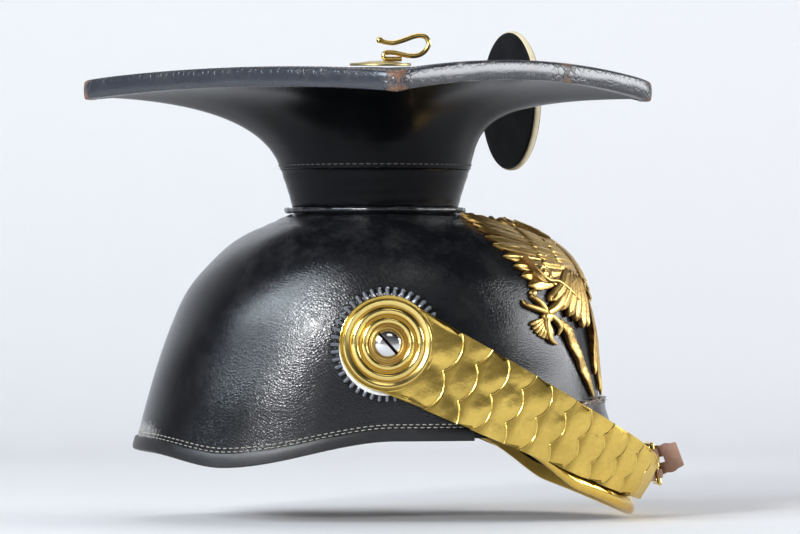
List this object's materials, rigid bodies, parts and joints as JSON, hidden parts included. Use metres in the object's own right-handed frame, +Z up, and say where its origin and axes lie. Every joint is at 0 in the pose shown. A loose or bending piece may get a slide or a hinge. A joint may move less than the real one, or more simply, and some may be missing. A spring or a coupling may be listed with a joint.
{
  "type": "lancer cap",
  "caption": "Square-topped black leather lancer's cap with neck, eagle front plate, visor, field badge, cap line hook and a buckled chin strap of overlapping brass scales.",
  "frame": {"origin": "centre of the head opening, level with the lower edge of the skull at the ears", "axes": "+X towards the wearer's front, +Y towards the wearer's left, +Z up through the square top"},
  "size_m": [0.2978, 0.2828, 0.2444],
  "materials": {
    "skull_leather": "satin black, fine pebbled grain",
    "binding_leather": "satin black",
    "neck_leather": "smooth black, semi gloss",
    "top_board": "olive black, matte",
    "patent_leather": "glossy black, cracked at the corners",
    "visor_leather": "brown black, satin",
    "trim_brass": "polished, slightly tarnished",
    "gilt_brass": "antique gilt with dark recesses",
    "plain_brass": "satin",
    "dull_brass": "dull",
    "polished_brass": "polished with light tarnish",
    "cockade_black": "black, fluted",
    "cockade_pale": "off-white",
    "steel": "bright steel",
    "liner_leather": "brown, matte",
    "lining_leather": "dark brown, matte",
    "strap_leather": "brown, worn",
    "lace": "waxed cord",
    "badge_pale": "cream",
    "badge_black": "black cloth"
  },
  "bodies": {
    "cap": {"skull_shell": "skull_leather", "rim_binding": "binding_leather", "neck_collar": "neck_leather", "neck_flare": "neck_leather", "neck_welt": "neck_leather", "crown_board": "top_board", "board_binding": "patent_leather", "visor": "visor_leather", "visor_trim": "trim_brass", "front_plate": "gilt_brass", "plate_nuts": "plain_brass", "cockade_right": "cockade_black", "cockade_left": "cockade_black", "cockade_rings": "cockade_pale", "boss_screws": "steel", "boss_washers": "steel", "boss_nuts": "steel", "hook_disc": "dull_brass", "line_hook": "plain_brass", "badge_socket": "dull_brass", "sweatband": "liner_leather", "liner_tongues": "liner_leather", "liner_lace": "lace"},
    "strap_right": {"rosette_right": "polished_brass", "lining_right": "lining_leather", "buckle_loop": "strap_leather", "buckle_frame": "plain_brass", "scale_right_1": "polished_brass", "scale_right_2": "polished_brass", "scale_right_3": "polished_brass", "scale_right_4": "polished_brass", "scale_right_5": "polished_brass", "scale_right_6": "polished_brass", "scale_right_7": "polished_brass", "scale_right_8": "polished_brass", "scale_right_9": "polished_brass", "scale_right_10": "polished_brass", "scale_right_11": "polished_brass", "scale_right_12": "polished_brass"},
    "strap_left": {"rosette_left": "polished_brass", "lining_left": "lining_leather", "billet": "strap_leather", "scale_left_1": "polished_brass", "scale_left_2": "polished_brass", "scale_left_3": "polished_brass", "scale_left_4": "polished_brass", "scale_left_5": "polished_brass", "scale_left_6": "polished_brass", "scale_left_7": "polished_brass", "scale_left_8": "polished_brass", "scale_left_9": "polished_brass", "scale_left_10": "polished_brass", "scale_left_11": "polished_brass", "scale_left_12": "polished_brass"},
    "prong": {"buckle_prong": "plain_brass"},
    "badge": {"badge_board": "badge_pale", "badge_back": "badge_black", "badge_face": "badge_black", "badge_fork": "plain_brass"}
  },
  "joints": [
    {"name": "strap_right_swing", "type": "hinge", "parent": "cap", "child": "strap_right", "pos_m": [0, -0.097, 0.046], "axis": [0, -1, 0], "range_deg": [0, 58]},
    {"name": "strap_left_swing", "type": "hinge", "parent": "cap", "child": "strap_left", "pos_m": [0, 0.097, 0.046], "axis": [0, -1, 0], "range_deg": [0, 58]},
    {"name": "prong_hinge", "type": "hinge", "parent": "strap_right", "child": "prong", "pos_m": [0.1425, -0.0078, -0.01528], "axis": [0.2079, 0, -0.9781], "range_deg": [0, 8]},
    {"name": "badge_slide", "type": "slide", "parent": "cap", "child": "badge", "axis": [0, 0, 1], "range_m": [0, 0.012]}
  ],
  "couplings": [
    {"joint": "strap_left_swing", "follows": "strap_right_swing", "ratio": 1}
  ]
}
